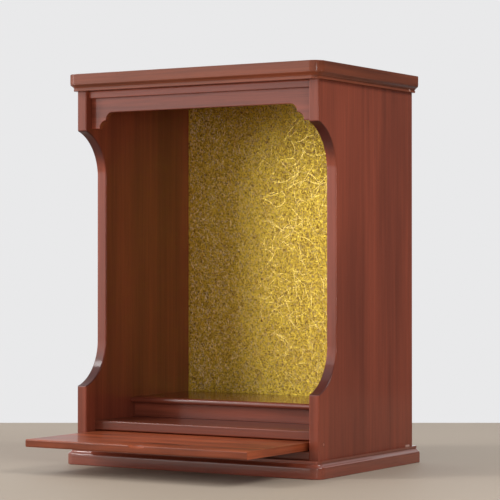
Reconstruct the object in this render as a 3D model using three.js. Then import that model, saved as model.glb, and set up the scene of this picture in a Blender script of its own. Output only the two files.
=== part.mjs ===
// A household altar cabinet: a small open-fronted box of varnished boards, with a moulded top and base, side
// panels whose front edges are cut back, a shaped apron under the top, a step with a rounded nosing on its floor,
// gold fibre paper on its back, and a thin offering shelf that pulls out from under the floor.
//
// Millimetres. +X is the cabinet's right as one faces it, +Y is the back, +Z is up. The origin is the middle of the
// base board's underside. The offering shelf is drawn pulled out.

import * as THREE from 'three';

// ---- Driving dimensions ----

const HEIGHT = 420;

// The top and base boards share one edge moulding. Their back edges are flush.
const BOARD = 18;                 // thickness
const BOARD_BACK = 110;
const BASE_WIDTH = 318;
const BASE_FRONT = -110;
const TOP_WIDTH = 315;
const TOP_FRONT = -108.5;
const FRONT_CORNER = 12;          // plan radius of the front corners
const BACK_CORNER = 2;            // plan radius of the back corners

// The edge moulding, measured from the board's free face towards the box.
const EASE = 0.8;                 // rounded arris of the free face
const FASCIA = 10.2;              // flat edge, with the arris
const QUIRK = 0.8;                // height of the fine groove above the flat edge
const QUIRK_DEPTH = 0.5;
const OGEE = 3.7;                 // height of the S-curve
const OGEE_START = 0.1;           // inset of the S-curve where it leaves the groove
const OGEE_INSET = 3.6;           // how far the S-curve draws in
const RECESS = 1.2;               // height of the dark line between the S-curve and the fillet
const RECESS_INSET = 4.3;
const RECESS_SLOPE = 0.2;         // height over which the line steps in and out
const FILLET_INSET = 3.8;

// The side panels stand on the base and carry the top.
const PANEL = 12;                 // thickness
const PANEL_OUTER = 150.5;        // half the width over the panels
const PANEL_FRONT = -97;
const PANEL_BACK = 108;
const CUT_LOW = 84;               // height of the lower shoulder of the cut-back
const CUT_HIGH = 359;             // height of the upper shoulder
const CUT_DEPTH = 36.5;
const CUT_RADIUS = 50;            // of the hollow between a shoulder and the straight

// Between the panels, from the base up.
const BED_TOP = 26.5;
const BED_FRONT = -96;
const FLOOR_UNDERSIDE = 36;
const FLOOR_TOP = 46;
const FLOOR_FRONT = -81;
const FLOOR_ARRIS = 1.5;
const RISER_FRONT = -5;
const RISER_THICKNESS = 9;
const STEP_TOP = 68;
const STEP_THICKNESS = 6.5;
const STEP_FRONT = -14;

// The back.
const BACK_PANEL = 4;             // thickness
const PAPER = 0.5;                // fibre paper and its glue

// Under the top board.
const RAIL_UNDERSIDE = 394.5;
const RAIL_FRONT = -92.5;
const RAIL_THICKNESS = 12;
const APRON_FRONT = -87.5;
const APRON_THICKNESS = 6;
const APRON_EDGE = 379;           // height of the apron's straight lower edge
const BRACKET_UNDERSIDE = 361.5;
const BRACKET_FOOT = 11;          // width of the flat under each bracket
const COVE = 8.25;                // radius of each of the bracket's two coves
const COVE_STEP = 0.5;            // upright below each cove

// The offering shelf, pulled out.
const SHELF_TOP = 35;
const SHELF_THICKNESS = 8;
const SHELF_WIDTH = 269;
const SHELF_FRONT = -208;
const SHELF_DEPTH = 196;
const SHELF_ARRIS = 1.5;

// ---- Derived places ----

const BASE_TOP = BOARD;
const TOP_UNDERSIDE = HEIGHT - BOARD;
const PANEL_INNER = PANEL_OUTER - PANEL;
const CLEAR_WIDTH = 2 * PANEL_INNER;
const BACK_FRONT = PANEL_BACK - BACK_PANEL;
const PAPER_FRONT = BACK_FRONT - PAPER;

// ---- Materials ----

const wood = (color) => new THREE.MeshStandardMaterial({ color, roughness: 0.38, metalness: 0 });
const FRONT_WOOD = wood(0x96604c);
const PANEL_WOOD = wood(0x7c4534);
const INNER_WOOD = wood(0x6b3a2a);
const SHELF_WOOD = wood(0x96502f);
const BACK_WOOD = wood(0x6e4a36);
const GOLD_PAPER = new THREE.MeshStandardMaterial({ color: 0xae8f34, roughness: 0.45, metalness: 0.6 });

// ---- Shape helpers ----

// A rectangular board between two corners.
function board(name, material, low, high) {
  const size = high.map((value, i) => value - low[i]);
  const mesh = new THREE.Mesh(new THREE.BoxGeometry(...size), material);
  mesh.name = name;
  mesh.position.set(...high.map((value, i) => (value + low[i]) / 2));
  return mesh;
}

// A Y-Z outline, drawn in a shape's x and y, pushed along +X from xStart.
function extrudeAlongX(name, material, shape, xStart, length, curveSegments) {
  const geometry = new THREE.ExtrudeGeometry(shape, { depth: length, bevelEnabled: false, curveSegments });
  const axes = [new THREE.Vector3(0, 1, 0), new THREE.Vector3(0, 0, 1), new THREE.Vector3(1, 0, 0)];
  geometry.applyMatrix4(new THREE.Matrix4().makeBasis(...axes));
  const mesh = new THREE.Mesh(geometry, material);
  mesh.name = name;
  mesh.position.x = xStart;
  return mesh;
}

// An X-Z outline, drawn in a shape's x and y, pushed along -Y from yBack to yFront.
function extrudeForward(name, material, shape, yBack, yFront, curveSegments) {
  const geometry = new THREE.ExtrudeGeometry(shape, { depth: yBack - yFront, bevelEnabled: false, curveSegments });
  const axes = [new THREE.Vector3(1, 0, 0), new THREE.Vector3(0, 0, 1), new THREE.Vector3(0, -1, 0)];
  geometry.applyMatrix4(new THREE.Matrix4().makeBasis(...axes));
  const mesh = new THREE.Mesh(geometry, material);
  mesh.name = name;
  mesh.position.y = yBack;
  return mesh;
}

// A closed solid through rings of equally many points. Each ring runs anticlockwise as seen from the last one's side.
function loft(rings) {
  const count = rings[0].length;
  const positions = rings.flat().flatMap((point) => point.toArray());
  const last = (rings.length - 1) * count;
  const index = [];
  for (let ring = 0; ring < rings.length - 1; ring += 1) {
    for (let i = 0; i < count; i += 1) {
      const a = ring * count + i;
      const b = ring * count + ((i + 1) % count);
      index.push(a, b, b + count, a, b + count, a + count);
    }
  }
  for (let i = 1; i < count - 1; i += 1) {
    index.push(0, i + 1, i);
    index.push(last, last + i, last + i + 1);
  }
  const geometry = new THREE.BufferGeometry();
  geometry.setAttribute('position', new THREE.Float32BufferAttribute(positions, 3));
  geometry.setIndex(index);
  return geometry;
}

// ---- Top and base boards ----

// The moulding's outline as [inset, height] from the free face to the face that meets the box.
function edgeProfile() {
  const easeSteps = 3;
  const ogeeSteps = 8;
  const profile = [];
  for (let i = 0; i <= easeSteps; i += 1) {
    const turn = (i / easeSteps) * Math.PI / 2;
    profile.push([EASE * (1 - Math.sin(turn)), EASE * (1 - Math.cos(turn))]);
  }
  profile.push([0, FASCIA], [QUIRK_DEPTH, FASCIA + QUIRK / 2]);
  for (let i = 0; i <= ogeeSteps; i += 1) {
    const along = i / ogeeSteps;
    const swell = (1 - Math.cos(along * Math.PI)) / 2;
    profile.push([OGEE_START + (OGEE_INSET - OGEE_START) * swell, FASCIA + QUIRK + OGEE * along]);
  }
  const recessStart = FASCIA + QUIRK + OGEE;
  const recessEnd = recessStart + RECESS;
  profile.push([RECESS_INSET, recessStart + RECESS_SLOPE], [RECESS_INSET, recessEnd - RECESS_SLOPE]);
  profile.push([FILLET_INSET, recessEnd], [FILLET_INSET, BOARD]);
  return profile;
}

// One level of a board: its plan with the front and the sides drawn in by the moulding's inset.
function planRing(width, front, inset, z) {
  const x = width / 2 - inset;
  const y = front + inset;
  const corners = [
    { cx: x, cy: y, radius: FRONT_CORNER - inset, steps: 8, start: -90, sx: 1, sy: -1 },
    { cx: x, cy: BOARD_BACK, radius: BACK_CORNER, steps: 3, start: 0, sx: 1, sy: 1 },
    { cx: -x, cy: BOARD_BACK, radius: BACK_CORNER, steps: 3, start: 90, sx: -1, sy: 1 },
    { cx: -x, cy: y, radius: FRONT_CORNER - inset, steps: 8, start: 180, sx: -1, sy: -1 },
  ];
  return corners.flatMap(({ cx, cy, radius, steps, start, sx, sy }) => (
    Array.from({ length: steps + 1 }, (_, i) => {
      const angle = THREE.MathUtils.degToRad(start + (90 * i) / steps);
      const px = cx - sx * radius + radius * Math.cos(angle);
      const py = cy - sy * radius + radius * Math.sin(angle);
      return new THREE.Vector3(px, py, z);
    })
  ));
}

function mouldedBoard(name, width, front, heightOf) {
  const rings = edgeProfile().map(([inset, height]) => planRing(width, front, inset, heightOf(height)));
  if (rings[0][0].z > rings[1][0].z) rings.reverse();
  const mesh = new THREE.Mesh(loft(rings), FRONT_WOOD);
  mesh.name = name;
  return mesh;
}

// ---- Side panels ----

// The front edge runs full depth at the head and foot. Between two sharp shoulders it is cut back, through a hollow
// of CUT_RADIUS at each end, to a straight.
function sidePanel(name, xStart) {
  const sweep = Math.acos(1 - CUT_DEPTH / CUT_RADIUS);
  const rise = CUT_RADIUS * Math.sin(sweep);
  const centreY = PANEL_FRONT + CUT_DEPTH - CUT_RADIUS;
  const shape = new THREE.Shape();
  shape.moveTo(PANEL_FRONT, BASE_TOP);
  shape.lineTo(PANEL_BACK, BASE_TOP);
  shape.lineTo(PANEL_BACK, TOP_UNDERSIDE);
  shape.lineTo(PANEL_FRONT, TOP_UNDERSIDE);
  shape.lineTo(PANEL_FRONT, CUT_HIGH);
  shape.absarc(centreY, CUT_HIGH - rise, CUT_RADIUS, sweep, 0, true);
  shape.absarc(centreY, CUT_LOW + rise, CUT_RADIUS, 0, -sweep, true);
  shape.closePath();
  return extrudeAlongX(name, PANEL_WOOD, shape, xStart, PANEL, 24);
}

// ---- Floor, step and shelf ----

// A quarter circle of [y, z] points, anticlockwise from startAngle.
function quarterRound(y, z, radius, startAngle) {
  const steps = 6;
  return Array.from({ length: steps + 1 }, (_, i) => {
    const angle = startAngle + (i / steps) * Math.PI / 2;
    return [y + radius * Math.cos(angle), z + radius * Math.sin(angle)];
  });
}

// A board along X with both front arrises rounded, into a half-round nosing where they meet. yCovered is where
// another board starts to cover its top, so that the free part of the top is a face of its own.
function roundedBoard(name, material, halfWidth, { yFront, yCovered, yBack, zLow, zHigh, arris }) {
  const upper = quarterRound(yFront + arris, zHigh - arris, arris, Math.PI / 2);
  const lower = quarterRound(yFront + arris, zLow + arris, arris, Math.PI);
  const arrisesMeet = zHigh - zLow === 2 * arris;
  const outline = [[yBack, zLow], [yBack, zHigh], [yCovered, zHigh], ...upper, ...lower.slice(arrisesMeet ? 1 : 0)];
  const rings = [-halfWidth, halfWidth].map((x) => outline.map(([y, z]) => new THREE.Vector3(x, y, z)));
  const mesh = new THREE.Mesh(loft(rings), material);
  mesh.name = name;
  return mesh;
}

function floorBoard() {
  return roundedBoard('floor_board', INNER_WOOD, PANEL_INNER, {
    yFront: FLOOR_FRONT, yCovered: RISER_FRONT, yBack: BACK_FRONT,
    zLow: FLOOR_UNDERSIDE, zHigh: FLOOR_TOP, arris: FLOOR_ARRIS,
  });
}

function stepBoard() {
  return roundedBoard('step_board', INNER_WOOD, PANEL_INNER, {
    yFront: STEP_FRONT, yCovered: RISER_FRONT, yBack: PAPER_FRONT,
    zLow: STEP_TOP - STEP_THICKNESS, zHigh: STEP_TOP, arris: STEP_THICKNESS / 2,
  });
}

function offeringShelf() {
  return roundedBoard('offering_shelf', SHELF_WOOD, SHELF_WIDTH / 2, {
    yFront: SHELF_FRONT, yCovered: FLOOR_FRONT, yBack: SHELF_FRONT + SHELF_DEPTH,
    zLow: SHELF_TOP - SHELF_THICKNESS, zHigh: SHELF_TOP, arris: SHELF_ARRIS,
  });
}

// ---- Apron ----

// The lower edge is straight in the middle. Each end comes down as a bracket: two quarter-round coves, one above the
// other, each with a short upright below it, and a flat foot against the panel.
function apron() {
  const footEdge = PANEL_INNER - BRACKET_FOOT;
  const lower = BRACKET_UNDERSIDE + COVE_STEP;
  const upper = lower + COVE + COVE_STEP;
  const shape = new THREE.Shape();
  shape.moveTo(-PANEL_INNER, RAIL_UNDERSIDE);
  shape.lineTo(-PANEL_INNER, BRACKET_UNDERSIDE);
  shape.lineTo(-footEdge, BRACKET_UNDERSIDE);
  shape.absarc(-footEdge + COVE, lower, COVE, Math.PI, Math.PI / 2, true);
  shape.absarc(-footEdge + 2 * COVE, upper, COVE, Math.PI, Math.PI / 2, true);
  shape.absarc(footEdge - 2 * COVE, upper, COVE, Math.PI / 2, 0, true);
  shape.absarc(footEdge - COVE, lower, COVE, Math.PI / 2, 0, true);
  shape.lineTo(footEdge, BRACKET_UNDERSIDE);
  shape.lineTo(PANEL_INNER, BRACKET_UNDERSIDE);
  shape.lineTo(PANEL_INNER, RAIL_UNDERSIDE);
  shape.closePath();
  return extrudeForward('apron', FRONT_WOOD, shape, APRON_FRONT + APRON_THICKNESS, APRON_FRONT, 12);
}

// ---- The cabinet ----

// A board that fills the width between the panels.
function between(name, material, yFront, yBack, zLow, zHigh) {
  return board(name, material, [-PANEL_INNER, yFront, zLow], [PANEL_INNER, yBack, zHigh]);
}

const cabinet = new THREE.Group();
cabinet.add(
  mouldedBoard('base_board', BASE_WIDTH, BASE_FRONT, (height) => height),
  mouldedBoard('top_board', TOP_WIDTH, TOP_FRONT, (height) => HEIGHT - height),
  sidePanel('side_panel_left', -PANEL_OUTER),
  sidePanel('side_panel_right', PANEL_INNER),
  between('back_panel', BACK_WOOD, BACK_FRONT, PANEL_BACK, BASE_TOP, TOP_UNDERSIDE),
  between('gold_paper', GOLD_PAPER, PAPER_FRONT, BACK_FRONT, STEP_TOP - STEP_THICKNESS, TOP_UNDERSIDE),
  between('shelf_bed', INNER_WOOD, BED_FRONT, BACK_FRONT, BASE_TOP, BED_TOP),
  floorBoard(),
  between('step_riser', INNER_WOOD, RISER_FRONT, RISER_FRONT + RISER_THICKNESS, FLOOR_TOP, STEP_TOP - STEP_THICKNESS),
  stepBoard(),
  between('header_rail', FRONT_WOOD, RAIL_FRONT, RAIL_FRONT + RAIL_THICKNESS, RAIL_UNDERSIDE, TOP_UNDERSIDE),
  apron(),
  offeringShelf(),
);

export default cabinet;
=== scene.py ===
"""Looks of a household altar cabinet: varnished boards with softened arrises, a gold fibre-paper back, a plain pale
floor and soft studio light. Metres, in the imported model's frame: +X is the cabinet's right, +Y its back, +Z up."""

import math
import random
from contextlib import contextmanager

import bmesh
import bpy
import numpy as np
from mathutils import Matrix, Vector, noise


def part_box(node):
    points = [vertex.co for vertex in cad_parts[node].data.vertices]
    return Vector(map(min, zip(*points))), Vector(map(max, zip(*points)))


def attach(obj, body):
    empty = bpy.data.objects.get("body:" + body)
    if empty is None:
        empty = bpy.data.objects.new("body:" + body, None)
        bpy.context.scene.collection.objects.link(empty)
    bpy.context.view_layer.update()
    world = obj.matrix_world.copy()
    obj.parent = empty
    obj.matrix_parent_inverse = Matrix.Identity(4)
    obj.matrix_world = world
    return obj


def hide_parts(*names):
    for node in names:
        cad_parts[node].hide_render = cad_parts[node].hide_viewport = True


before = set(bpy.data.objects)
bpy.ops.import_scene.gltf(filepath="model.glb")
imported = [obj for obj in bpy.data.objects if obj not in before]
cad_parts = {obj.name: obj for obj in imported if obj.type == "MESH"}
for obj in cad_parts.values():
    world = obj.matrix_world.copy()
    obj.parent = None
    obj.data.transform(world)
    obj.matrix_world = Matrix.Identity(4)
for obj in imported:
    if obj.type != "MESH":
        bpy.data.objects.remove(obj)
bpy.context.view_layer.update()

MM = 0.001
SAME = 1e-6                                 # two coordinates closer than this are one
CABINET = "cabinet"
SHELF = "offering_shelf"

# ---- Colours, as linear RGBA ----


def srgb(red, green, blue):
    """An 8-bit display colour as linear RGBA."""
    channels = [value / 255 for value in (red, green, blue)]
    linear = [c / 12.92 if c <= 0.04045 else ((c + 0.055) / 1.055) ** 2.4 for c in channels]
    return (*linear, 1.0)


def shaded(colour, share):
    """A colour with its three channels scaled."""
    return (*(channel * share for channel in colour[:3]), 1.0)


def tones(middle, spread):
    """The dark, middle and light of a colour."""
    return [shaded(middle, share) for share in (1 - spread, 1, 1 + spread)]


RED_BROWN = (0.214, 0.047, 0.024, 1.0)
TOP_BROWN = (0.165, 0.042, 0.019, 1.0)
BASE_BROWN = (0.196, 0.042, 0.021, 1.0)
SHELF_RED = (0.255, 0.056, 0.020, 1.0)
INNER_BROWN = (0.150, 0.036, 0.018, 1.0)
BARE_BROWN = (0.130, 0.060, 0.035, 1.0)
# end grain's darker stain, which also serves as painted shade in the cut-back hollows
END_GRAIN_AND_SHADE = (0.045, 0.014, 0.014, 1.0)
BLACK = (0.0, 0.0, 0.0, 1.0)
# painted light: small pale spots at the joints at the back right
PAINTED_LIGHT_FLECK = srgb(188, 152, 138)
PLUG = srgb(160, 98, 80)
PLUG_RIM = shaded(RED_BROWN, 0.55)
GOLD_HOLLOW_SHADE = (0.17, 0.08, 0.016, 1.0)
GOLD_GROUND = (0.64, 0.375, 0.022, 1.0)
GOLD_GLINT = (0.88, 0.64, 0.08, 1.0)
SHORT_FIBRE = (0.80, 0.63, 0.38, 1.0)
LONG_FIBRE = (0.82, 0.62, 0.18, 1.0)
FLOOR_TONE = srgb(170, 156, 140)
BACKDROP = srgb(233, 233, 234)

# ---- Node helpers ----


class Nodes:
    """Makes nodes in one tree. An input is a plain value, or the output that feeds it."""

    def __init__(self, tree):
        self.tree = tree

    def node(self, kind, inputs=None, **settings):
        made = self.tree.nodes.new(kind)
        for key, value in settings.items():
            setattr(made, key, value)
        for key, value in (inputs or {}).items():
            if isinstance(value, bpy.types.NodeSocket):
                self.tree.links.new(value, made.inputs[key])
            else:
                made.inputs[key].default_value = value
        return made

    def span(self, value, low, high, to_low=0.0, to_high=1.0, smooth=False):
        """A value carried from one range to another, and held at the ends."""
        inputs = {"Value": value, "From Min": low, "From Max": high, "To Min": to_low, "To Max": to_high}
        kind = "SMOOTHSTEP" if smooth else "LINEAR"
        return self.node("ShaderNodeMapRange", inputs, interpolation_type=kind).outputs[0]


class Finish(Nodes):
    """One material. Plain values go straight on the shader's own sockets."""

    def __init__(self, name, **plain):
        self.material = bpy.data.materials.new(name)
        self.material.use_nodes = True
        super().__init__(self.material.node_tree)
        self.shader = self.tree.nodes["Principled BSDF"]
        for socket, value in plain.items():
            self.shader.inputs[socket.replace("_", " ").title().replace("Ior", "IOR")].default_value = value
        self.place = self.node("ShaderNodeTexCoord").outputs["Object"]

    def set(self, socket, value):
        self.tree.links.new(value, self.shader.inputs[socket])

    def noise(self, scale, offset=(0, 0, 0), detail=4.0, roughness=0.55, distortion=0.0):
        """Noise over the object's own coordinates, with its scale in cycles per metre."""
        moved = self.node("ShaderNodeMapping", {"Vector": self.place, "Scale": scale, "Location": offset})
        inputs = {"Vector": moved.outputs[0], "Scale": 1.0, "Detail": detail}
        inputs |= {"Roughness": roughness, "Distortion": distortion}
        return self.node("ShaderNodeTexNoise", inputs).outputs["Fac"]

    def ramp(self, value, stops):
        made = self.node("ShaderNodeValToRGB", {"Fac": value})
        elements = made.color_ramp.elements
        while len(elements) < len(stops):
            elements.new(0.5)
        for element, (position, colour) in zip(elements, stops):
            element.position = position
            element.color = colour
        return made.outputs["Color"]

    def math(self, operation, first, second=0.0, third=0.0):
        return self.node("ShaderNodeMath", {0: first, 1: second, 2: third}, operation=operation).outputs[0]

    def weighted(self, *parts):
        """The sum of (value, weight) pairs."""
        total = 0.0
        for value, weight in parts:
            total = self.math("MULTIPLY_ADD", value, weight, total)
        return total

    def facing(self, axis):
        """1 where the surface looks along an axis of the object, either way, and 0 where it looks across it."""
        normal = self.node("ShaderNodeTexCoord").outputs["Normal"]
        return self.math("ABSOLUTE", self.node("ShaderNodeSeparateXYZ", {0: normal}).outputs[axis])

    def near(self, centre, radius):
        """1 at a place, falling to 0 at that distance from it."""
        distance = self.node("ShaderNodeVectorMath", {0: self.place, 1: centre}, operation="DISTANCE").outputs["Value"]
        return self.span(distance, radius * 0.6, radius, 1.0, 0.0, smooth=True)

    def blend(self, share, first, second):
        """A number between two others."""
        return self.node("ShaderNodeMix", {"Factor": share, 2: first, 3: second}).outputs[0]

    def mix(self, share, first, second):
        """A colour between two others."""
        return self.node("ShaderNodeMix", {"Factor": share, 6: first, 7: second}, data_type="RGBA").outputs[2]

    def bump(self, height, strength, distance):
        inputs = {"Height": height, "Strength": strength, "Distance": distance}
        return self.node("ShaderNodeBump", inputs).outputs["Normal"]


# ---- Materials ----

FIGURE_SCALE = (26, 2.4)                    # a grain's scale across it and along it, in cycles per metre
SHELF_FIGURE_SCALE = (30, 7)
STREAK_SCALE = (170, 4)
FIBRE_SCALE = (900, 20)
PORE_SCALE = (700, 30)
SIDE_SEED_STEP = 100                        # keeps the grain of the side faces apart from the front's
PORE_STRENGTH = 0.22
END_GRAIN_AND_SHADE_STRENGTH = 0.8
GOLD_WEB_SCALE = 430
GOLD_GRAIN_SCALE = 700
FIBRE_TINT_SCALE = 330
FLOOR_TONE_SCALE = 3


def along_grain(axis, across, along):
    """A texture scale that is coarse along the grain and fine across it."""
    return tuple(along if name == axis else across for name in "XYZ")


def grain(finish, axis, seed, figure_scale):
    """One axis's grain: its figure and streaks together, its fine fibres, and its pores."""
    offset = (seed * 1.7, seed * 3.1, seed * 2.3)
    figure = finish.noise(along_grain(axis, *figure_scale), offset, detail=2, distortion=0.5)
    streaks = finish.noise(along_grain(axis, *STREAK_SCALE), offset, detail=4, roughness=0.6, distortion=0.2)
    fibres = finish.noise(along_grain(axis, *FIBRE_SCALE), offset, detail=3, roughness=0.6)
    pores = finish.noise(along_grain(axis, *PORE_SCALE), offset, detail=2, roughness=0.5)
    return finish.weighted((figure, 0.5), (streaks, 0.35), (fibres, 0.15)), fibres, pores


def wood(name, axis, colour, seed, spread=0.38, side_axis=None, specks=(), coat=0.45, coat_roughness=0.11,
         figure_scale=FIGURE_SCALE, end_grain_and_shade=False, painted_front_shade=0.0):
    """Stained wood under satin varnish. side_axis is the grain of the faces that look along X. A speck is a mark or a
    spot of painted light, as (centre, radius, colour). Asked for, the faces that look up or down are darkened: end
    grain takes the stain darker, and in the hollows of the cut-backs the same darkening is painted shade.
    Asked for, the edges that look along Y are darkened as painted shade."""
    finish = Finish(name, coat_weight=coat, coat_roughness=coat_roughness, coat_ior=1.5, specular_ior_level=0.12)
    figured, fibres, pores = grain(finish, axis, seed, figure_scale)
    if side_axis:
        lean = finish.math("SUBTRACT", finish.facing("X"), finish.facing("Y"))
        sideways = finish.span(lean, 0.05, 0.15)
        pairs = zip((figured, fibres, pores), grain(finish, side_axis, seed + SIDE_SEED_STEP, figure_scale))
        figured, fibres, pores = (finish.blend(sideways, front, side) for front, side in pairs)
    dark, middle, light = tones(colour, spread)
    stain = finish.ramp(figured, [(0.38, dark), (0.50, middle), (0.62, light)])
    stain = finish.mix(finish.span(pores, 0.30, 0.38, PORE_STRENGTH, 0.0), stain, shaded(dark, 0.5))
    # painted shade: the faces that look along Y are made darker than the rest
    if painted_front_shade:
        stain = finish.mix(finish.span(finish.facing("Y"), 0.6, 0.95, 0.0, painted_front_shade), stain, BLACK)
    # end grain's darker stain and painted shade: faces that look up or down go darker, the cut-back hollows among them
    if end_grain_and_shade:
        upright = finish.span(finish.facing("Z"), 0.1, 0.6, 0.0, END_GRAIN_AND_SHADE_STRENGTH, smooth=True)
        stain = finish.mix(upright, stain, END_GRAIN_AND_SHADE)
    for centre, radius, tint in specks:
        stain = finish.mix(finish.near(centre, radius), stain, tint)
    finish.set("Base Color", stain)
    finish.set("Roughness", finish.span(figured, 0.3, 0.7, 0.42, 0.56))
    finish.set("Normal", finish.bump(fibres, 0.10, 0.3 * MM))
    return finish.material


def web(finish, scale, seed):
    """Thin bright lines that cross at random, as matted fibres do, their brightness partly painted glint."""
    lines = 0.0
    for turn in range(2):
        field = finish.noise((scale,) * 3, (seed + turn * 7.3, turn * 3.1, turn * 5.7), detail=1.2, distortion=0.8)
        away = finish.math("ABSOLUTE", finish.math("SUBTRACT", field, 0.5))
        lines = finish.math("MAXIMUM", lines, finish.span(away, 0.0, 0.08, 1.0, 0.0))
    return lines


def gold_finish():
    """Gold on matted fibre paper: thin bright fibres over a brown ground, with painted glints on the raised lines and
    painted shade in the hollows.
    """
    finish = Finish("gold_leaf", metallic=0.68)
    lines = web(finish, GOLD_WEB_SCALE, 3)
    grains = finish.noise((GOLD_GRAIN_SCALE,) * 3, detail=2, roughness=0.7)
    height = finish.weighted((lines, 0.7), (grains, 0.3))
    # painted highlight and shade on the paper's pattern: raised lines take a glint colour, hollows a shaded one
    finish.set("Base Color", finish.ramp(height, [(0.12, GOLD_HOLLOW_SHADE), (0.40, GOLD_GROUND), (0.58, GOLD_GLINT)]))
    finish.set("Roughness", finish.span(height, 0.2, 0.8, 0.42, 0.28))
    finish.set("Normal", finish.bump(height, 0.22, 0.5 * MM))
    return finish.material


def fibre_finish(name, colour, metallic, roughness, spread):
    """Gilt fibre whose tone changes every few millimetres."""
    finish = Finish(name, metallic=metallic, roughness=roughness)
    tint = finish.noise((FIBRE_TINT_SCALE,) * 3, detail=1)
    dark, _, light = tones(colour, spread)
    finish.set("Base Color", finish.ramp(tint, [(0.39, dark), (0.50, light)]))
    return finish.material


def floor_finish():
    finish = Finish("pale_floor", roughness=0.6, specular_ior_level=0.3)
    tone = finish.noise((FLOOR_TONE_SCALE,) * 3, detail=2)
    dark, _, light = tones(FLOOR_TONE, 0.02)
    finish.set("Base Color", finish.ramp(tone, [(0.3, dark), (0.7, light)]))
    return finish.material


# ---- Meshes ----

BOARD_SHARP = math.radians(35)              # an edge of a board that turns further than this is sharp
FLAT = math.radians(0.3)                    # faces closer in angle than this are one flat face
BEVEL_LAYER = "bevel_weight_edge"


def placed(name, data):
    """A new object in the scene."""
    made = bpy.data.objects.new(name, data)
    bpy.context.scene.collection.objects.link(made)
    return made


def add_piece(name, mesh, material, body, nodes=()):
    """Adds a mesh as a piece that rides on a body and stands for those CAD nodes, if it stands for any."""
    piece = placed(name, mesh)
    mesh.materials.clear()
    mesh.materials.append(material)
    if nodes:
        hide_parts(*nodes)
    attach(piece, body)


@contextmanager
def edited(mesh):
    """A mesh opened for editing, and written back."""
    made = bmesh.new()
    made.from_mesh(mesh)
    yield made
    made.to_mesh(mesh)
    made.free()


def closed_mesh(name, points, faces, sharp):
    """A closed mesh with all its faces outwards, smooth up to the angle sharp."""
    mesh = bpy.data.meshes.new(name)
    mesh.from_pydata([tuple(point) for point in points], [], faces)
    with edited(mesh) as made:
        bmesh.ops.recalc_face_normals(made, faces=made.faces)
    mesh.shade_smooth()
    mesh.set_sharp_from_angle(angle=sharp)
    return mesh


def clean_copy(node):
    """A CAD node's mesh with its seams welded and its flat faces in one piece."""
    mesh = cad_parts[node].data.copy()
    with edited(mesh) as made:
        bmesh.ops.remove_doubles(made, verts=made.verts, dist=SAME)
        bmesh.ops.dissolve_limit(made, angle_limit=FLAT, verts=made.verts, edges=made.edges)
        bmesh.ops.recalc_face_normals(made, faces=made.faces)
    return mesh


def weigh_arrises(mesh, chosen):
    """Marks the sharp edges to soften: chosen(start, end) says which."""
    with edited(mesh) as made:
        layers = made.edges.layers.float
        weight = layers.get(BEVEL_LAYER) or layers.new(BEVEL_LAYER)
        for edge in made.edges:
            sharp = edge.is_manifold and edge.calc_face_angle() > BOARD_SHARP
            edge[weight] = 1.0 if sharp and chosen(*(v.co for v in edge.verts)) else 0.0


def softened(mesh, radius, segments=4):
    """The mesh with its marked arrises rounded and its normals weighted by face area."""
    carrier = placed("softening", mesh)
    mesh.shade_smooth()
    if radius:
        bevel = carrier.modifiers.new("arris", "BEVEL")
        bevel.limit_method = "WEIGHT"
        bevel.width = radius
        bevel.segments = segments
        bevel.use_clamp_overlap = False
    normals = carrier.modifiers.new("normals", "WEIGHTED_NORMAL")
    normals.keep_sharp = True
    evaluated = carrier.evaluated_get(bpy.context.evaluated_depsgraph_get())
    result = bpy.data.meshes.new_from_object(evaluated)
    bpy.data.objects.remove(carrier)
    return result


def board_piece(node, material, radius=0.0, chosen=None):
    """A board of the cabinet. Those of its arrises that are chosen are rounded to a radius."""
    mesh = clean_copy(node)
    mesh.set_sharp_from_angle(angle=BOARD_SHARP)
    if radius:
        weigh_arrises(mesh, chosen)
    add_piece(node + "_finished", softened(mesh, radius), material, CABINET, [node])


# ---- Boards ----

LIGHT_FLECK_RADIUS = 2.2 * MM                     # painted light at the back right, where the panel meets the mouldings
PLUG_RADIUS = 2.0 * MM                      # a plugged hole low on the right panel's side
PLUG_RIM_RADIUS = 2.8 * MM
PANEL_ARRIS = 1.4 * MM
APRON_ARRIS = 0.6 * MM


def add_moulded_boards():
    low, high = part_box("side_panel_right")
    edge = high.x + 2 * MM
    boards = {
        "base_board": (BASE_BROWN, 1.0, 0.06, (edge, high.y - 9 * MM, low.z)),
        "top_board": (TOP_BROWN, 0.28, 0.11, (edge, high.y - 12 * MM, high.z + 2 * MM)),
    }
    for seed, (node, (colour, coat, roughness, light_fleck)) in enumerate(boards.items(), 11):
        # painted light at the joint between this board and the right panel
        specks = [(light_fleck, LIGHT_FLECK_RADIUS, PAINTED_LIGHT_FLECK)]
        material = wood(
            node + "_wood", "X", colour, seed, side_axis="Y", specks=specks, coat=coat, coat_roughness=roughness
        )
        board_piece(node, material)


def add_side_panels():
    """Their end faces, under the top and on the base, stay square."""
    low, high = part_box("side_panel_right")

    def upright_arris(start, end):
        flat_end = abs(start.z - end.z) < SAME and min(abs(start.z - low.z), abs(start.z - high.z)) < SAME
        return not flat_end

    plug = (high.x, low.y + 9.5 * MM, low.z + 15.5 * MM)
    marks = [(plug, PLUG_RIM_RADIUS, PLUG_RIM), (plug, PLUG_RADIUS, PLUG)]
    # painted light along the joint at the panel's foot
    marks += [((high.x, high.y - back * MM, low.z), LIGHT_FLECK_RADIUS, PAINTED_LIGHT_FLECK) for back in (9, 12, 15)]
    for seed, (node, specks) in enumerate({"side_panel_left": (), "side_panel_right": marks}.items(), 21):
        material = wood(node + "_wood", "Z", RED_BROWN, seed, spread=0.3, specks=specks, coat=0.32, end_grain_and_shade=True)
        board_piece(node, material, PANEL_ARRIS, upright_arris)


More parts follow.
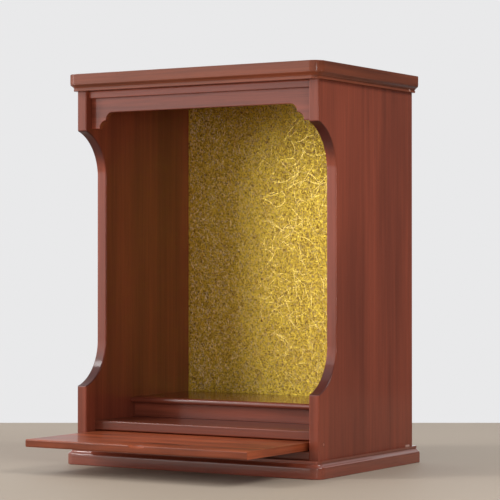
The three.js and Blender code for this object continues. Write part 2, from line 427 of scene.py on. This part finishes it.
def add_cross_boards():
    """The boards that run from panel to panel, with their long arrises softened, and the back."""

    def long_arris(start, end):
        return abs(start.x - end.x) > 100 * MM

    radii = {"header_rail": 0.5, "floor_board": 0, "step_riser": 0.3, "shelf_bed": 0.8, "step_board": 0}
    for seed, (node, radius) in enumerate(radii.items(), 31):
        colour = INNER_BROWN if node in ("floor_board", "shelf_bed") else RED_BROWN
        coat = 0.8 if node == "step_board" else 0.45
        board_piece(node, wood(node + "_wood", "X", colour, seed, coat=coat), radius * MM, long_arris)
    board_piece("back_panel", wood("back_panel_wood", "Z", BARE_BROWN, 43, coat=0.2))


def add_apron():
    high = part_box("apron")[1]

    def lower_arris(start, end):
        return min(start.z, end.z) < high.z - SAME and abs(start.y - end.y) < SAME

    board_piece("apron", wood("apron_wood", "X", RED_BROWN, 51), APRON_ARRIS, lower_arris)


# ---- Offering shelf ----

SCOOP_MIDDLE = 4.5 * MM
SCOOP_HALF = 9.5 * MM
SCOOP_REACH = 4.2 * MM
SCOOP_DROP = 2.6 * MM
SCOOP_CUTS = 24
UPPER_STEPS = 8
LOWER_STEPS = 6
SHELF_ARRIS = 1.5 * MM                      # along the front
SHELF_END_ARRIS = 0.4 * MM


def upper_arris(x, front, top):
    """The shelf's front top arris at one place, from the front face to the top: rounded, and hollowed in the scoop."""
    off_middle = min(1.0, abs(x - SCOOP_MIDDLE) / SCOOP_HALF)
    hollow = math.sqrt(1 - off_middle ** 2)
    reach = SHELF_ARRIS + (SCOOP_REACH - SHELF_ARRIS) * hollow
    drop = SHELF_ARRIS + (SCOOP_DROP - SHELF_ARRIS) * hollow
    points = []
    for i in range(UPPER_STEPS + 1):
        turn = i / UPPER_STEPS * math.pi / 2
        y = reach * ((1 - hollow) * (1 - math.cos(turn)) + hollow * math.sin(turn))
        z = drop * ((1 - hollow) * (1 - math.sin(turn)) + hollow * math.cos(turn))
        points.append((x, front + y, top - z))
    return points


def bottom_arris(x, front, bottom):
    """The shelf's front bottom arris at one place, from the bottom to the front face."""
    points = []
    for i in range(LOWER_STEPS + 1):
        turn = i / LOWER_STEPS * math.pi / 2
        y = front + SHELF_ARRIS * (1 - math.sin(turn))
        points.append((x, y, bottom + SHELF_ARRIS * (1 - math.cos(turn))))
    return points


def shelf_mesh(low, high):
    """The thin shelf as sections along X, closer together across the finger scoop."""
    turns = [math.pi * (i / SCOOP_CUTS - 0.5) for i in range(SCOOP_CUTS + 1)]
    sections = []
    for x in [low.x, *(SCOOP_MIDDLE + SCOOP_HALF * math.sin(turn) for turn in turns), high.x]:
        front = bottom_arris(x, low.y, low.z) + upper_arris(x, low.y, high.z)
        sections.append([(x, high.y, low.z), *front, (x, high.y, high.z)])
    ring = len(sections[0])
    points = [point for section in sections for point in section]
    faces = [tuple(range(ring)), tuple(reversed(range(len(points) - ring, len(points))))]
    for s in range(len(sections) - 1):
        for i in range(ring):
            a, b = s * ring + i, s * ring + (i + 1) % ring
            faces.append((a, a + ring, b + ring, b))
    return closed_mesh("offering_shelf_finished", points, faces, BOARD_SHARP)


def add_shelf():
    """The sections already round its front, so only its ends are softened here."""
    mesh = shelf_mesh(*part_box(SHELF))
    weigh_arrises(mesh, lambda start, end: abs(start.x - end.x) < SAME)
    # the shelf's front edge is darkened as painted shade
    material = wood("shelf_wood", "X", SHELF_RED, 61, spread=0.65, side_axis="Y", coat=0.28,
                    figure_scale=SHELF_FIGURE_SCALE, painted_front_shade=0.38)
    add_piece("offering_shelf_finished", softened(mesh, SHELF_END_ARRIS, 2), material, SHELF, [SHELF])


# ---- Gold paper ----

PAPER_CELL = 1.0 * MM
PAPER_SHARP = math.radians(60)
CRINKLE = 0.15 * MM                         # how far the paper's face stands forward on average
FINE_CRINKLE = 420                          # waves per metre
BROAD_CRINKLE = 150
FIBRE_RISE = 0.28 * MM                      # how far a fibre stands over the paper
FIBRE_STEP = 2.2 * MM
FIBRE_MARGIN = 1.0 * MM
RIBBON_TOP = 0.8                            # a ribbon's width on top, as a share of its foot
RIBBON_SHARP = math.radians(30)
RIDGE_SHARP = math.radians(100)
TIP_WIDTH = 0.3                             # a fibre's width at its tips, as a share of its full width
TIP_TAPER = 1.6


def crinkle(x, z):
    """How far the paper's face stands forward at a place."""
    fine = noise.noise(Vector((x * FINE_CRINKLE, z * FINE_CRINKLE, 3.0)))
    broad = noise.noise(Vector((x * BROAD_CRINKLE, z * BROAD_CRINKLE, 9.0)))
    return CRINKLE * (1 + 0.65 * fine + 0.35 * broad)


def paper_mesh(low, high):
    """A closed sheet: a crinkled face, thin edges and a flat back."""
    columns = round((high.x - low.x) / PAPER_CELL)
    rows = round((high.z - low.z) / PAPER_CELL)
    xs = np.linspace(low.x, high.x, columns + 1)
    zs = np.linspace(low.z, high.z, rows + 1)
    points = [(x, low.y - crinkle(x, z), z) for z in zs for x in xs]
    width = columns + 1
    faces = [
        (r * width + c, r * width + c + 1, (r + 1) * width + c + 1, (r + 1) * width + c)
        for r in range(rows)
        for c in range(columns)
    ]
    border = list(range(columns))
    border += [r * width + columns for r in range(rows)]
    border += [rows * width + c for c in range(columns, 0, -1)]
    border += [r * width for r in range(rows, 0, -1)]
    back = [len(points) + i for i in range(len(border))]
    points += [(points[i][0], high.y, points[i][2]) for i in border]
    count = len(border)
    for i in range(count):
        j = (i + 1) % count
        faces.append((border[j], border[i], back[i], back[j]))
    faces.append(tuple(reversed(back)))
    return closed_mesh("gold_paper_face", points, faces, PAPER_SHARP)


def strand(rng, low, high, length, wander):
    """A fibre that lies on the paper, gently and unevenly bent, as (x, z, heading)."""
    steps = max(2, round(length / FIBRE_STEP))
    x, z = rng.uniform(low.x, high.x), rng.uniform(low.z, high.z)
    heading = rng.uniform(0, 2 * math.pi)
    bend = rng.gauss(0, wander)
    path = []
    for _ in range(steps + 1):
        path.append((x, z, heading))
        heading += (bend + rng.gauss(0, wander)) * length / steps
        x += math.cos(heading) * length / steps
        z += math.sin(heading) * length / steps
    return path


def fibre_section(face, side, place, flat):
    """One cross-section of a fibre, its feet sunk in the paper. A ridge follows the crinkles. A flat ribbon runs
    over them."""
    x, z = place
    foot = Vector((x, face, z))
    top = Vector((x, face - FIBRE_RISE - (CRINKLE if flat else crinkle(x, z)), z))
    if flat:
        return [foot - side, top - side * RIBBON_TOP, top + side * RIBBON_TOP, foot + side]
    return [foot - side, top, foot + side]


def fibres_piece(name, material, seed, count, lengths, halves, wander, flat=False):
    """Fibres pressed on the paper, each a closed body. Lengths and half widths are ranges in millimetres, and wander
    is the spread of a fibre's bend, in radians per metre."""
    low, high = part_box("gold_paper")
    step_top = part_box("step_board")[1].z
    rng = random.Random(seed)
    points, faces = [], []
    ring = 4 if flat else 3

    def on_paper(x, z):
        inside = low.x + FIBRE_MARGIN < x < high.x - FIBRE_MARGIN
        return inside and step_top < z < high.z - FIBRE_MARGIN

    for _ in range(count):
        path = strand(rng, low, high, rng.uniform(*lengths) * MM, wander)
        half = rng.uniform(*halves) * MM
        if not all(on_paper(x, z) for x, z, _ in path):
            continue
        start = len(points)
        for i, (x, z, heading) in enumerate(path):
            width = half * min(1.0, TIP_WIDTH + TIP_TAPER * min(i, len(path) - 1 - i) / len(path))
            side = Vector((-math.sin(heading), 0, math.cos(heading))) * width
            points += fibre_section(low.y, side, (x, z), flat)
        last = start + (len(path) - 1) * ring
        for i in range(start, last, ring):
            faces += [(i + k, i + ring + k, i + ring + (k + 1) % ring, i + (k + 1) % ring) for k in range(ring)]
        faces += [tuple(range(start, start + ring)), tuple(reversed(range(last, last + ring)))]
    mesh = closed_mesh(name, points, faces, RIBBON_SHARP if flat else RIDGE_SHARP)
    add_piece(name, mesh, material, CABINET)


def add_gold_paper():
    mesh = paper_mesh(*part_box("gold_paper"))
    add_piece("gold_paper_face", mesh, gold_finish(), CABINET, ["gold_paper"])
    short = fibre_finish("short_fibre", SHORT_FIBRE, metallic=0.10, roughness=0.40, spread=0.25)
    long = fibre_finish("long_fibre", LONG_FIBRE, metallic=0.75, roughness=0.22, spread=0.1)
    fibres_piece("gold_fibres_short", short, 628, 10500, lengths=(2.0, 5.0), halves=(0.32, 0.50), wander=90)
    fibres_piece("gold_fibres_long", long, 82, 760, lengths=(8, 30), halves=(0.20, 0.32), wander=36, flat=True)
    fibres_piece("gold_fibres_curled", long, 95, 900, lengths=(6, 20), halves=(0.18, 0.28), wander=60)


# ---- Stage ----

VIEW_AZIMUTH = math.radians(31.714)         # how far the camera stands round from the front to the cabinet's right
CAMERA_PLACE = (1.1683, -1.87575, 0.2157)
CAMERA_PITCH = math.radians(90.39)          # 90 degrees looks level
CAMERA_LENS = 146.85                        # millimetres, over a sensor 36 mm wide
TABLE_BEHIND = 0.56
TABLE_REACH = 4.0
BACKDROP_AZIMUTH = math.radians(150)        # anticlockwise from +X
BACKDROP_RISE = math.radians(20)
BACKDROP_HALF = math.radians(60)
BACKDROP_FADE = math.radians(86)
ROOM_LIGHT = 0.12
BACKDROP_LIGHT = 1.0
CABINET_MIDDLE = (0, 0, 0.2)


def add_floor():
    """A plain table top, square to the camera, that ends a little way behind the cabinet."""
    away = Vector((-math.sin(VIEW_AZIMUTH), math.cos(VIEW_AZIMUTH), 0))
    across = Vector((away.y, -away.x, 0))
    rows = ((-TABLE_REACH, (-1, 1)), (TABLE_BEHIND, (1, -1)))
    points = [tuple(across * (side * TABLE_REACH) + away * depth) for depth, sides in rows for side in sides]
    mesh = bpy.data.meshes.new("floor")
    mesh.from_pydata(points, [], [(0, 1, 2, 3)])
    mesh.materials.append(floor_finish())
    placed("floor", mesh)


def add_light(name, place, target, size, power):
    """A rectangular soft light, its size in metres and its power in watts."""
    data = bpy.data.lights.new(name, "AREA")
    data.shape = "RECTANGLE"
    data.size, data.size_y = size
    data.energy = power
    light = placed(name, data)
    light.location = place
    light.rotation_euler = (Vector(target) - Vector(place)).to_track_quat("-Z", "Y").to_euler()
    light.visible_camera = False


def add_lights():
    add_light("sheen", (-1.55, -1.85, 0.9), (0, 0, 0.6), (1.6, 1.8), 26)
    add_light("key", (-1.5, -1.06, 1.65), CABINET_MIDDLE, (0.32, 0.7), 15)
    add_light("left", (-1.9, -1.1, 0.6), CABINET_MIDDLE, (0.6, 0.9), 9)
    add_light("side", (1.3, 0.1, 1.5), CABINET_MIDDLE, (0.8, 0.8), 18.5)
    add_light("strip", (1.41, -1.27, 0.3), CABINET_MIDDLE, (0.4, 0.4), 6.5)
    add_light("fill", (0.45, -2.5, 0.9), CABINET_MIDDLE, (2.4, 1.6), 12)


def add_world():
    """A dim room with a wide pale backdrop that runs round from behind the cabinet to its front left."""
    world = bpy.data.worlds.new("studio")
    world.use_nodes = True
    room = Nodes(world.node_tree)
    direction = room.node("ShaderNodeTexCoord").outputs["Generated"]
    level = math.cos(BACKDROP_RISE)
    middle = (level * math.cos(BACKDROP_AZIMUTH), level * math.sin(BACKDROP_AZIMUTH), math.sin(BACKDROP_RISE))
    towards = room.node("ShaderNodeVectorMath", {0: direction, 1: middle}, operation="DOT_PRODUCT").outputs["Value"]
    far, near = math.cos(BACKDROP_FADE), math.cos(BACKDROP_HALF)
    background = room.tree.nodes["Background"]
    background.inputs["Color"].default_value = BACKDROP
    brightness = room.span(towards, far, near, ROOM_LIGHT, BACKDROP_LIGHT, smooth=True)
    room.tree.links.new(brightness, background.inputs["Strength"])
    bpy.context.scene.world = world


def add_camera():
    data = bpy.data.cameras.new("camera")
    data.sensor_width = 36
    data.lens = CAMERA_LENS
    data.clip_end = 60
    camera = placed("camera", data)
    camera.location = CAMERA_PLACE
    camera.rotation_euler = (CAMERA_PITCH, 0, VIEW_AZIMUTH)
    bpy.context.scene.camera = camera


add_camera()
add_lights()
add_world()
add_floor()
add_moulded_boards()
add_side_panels()
add_cross_boards()
add_apron()
add_shelf()
add_gold_paper()
bpy.context.scene.view_settings.view_transform = "Standard"
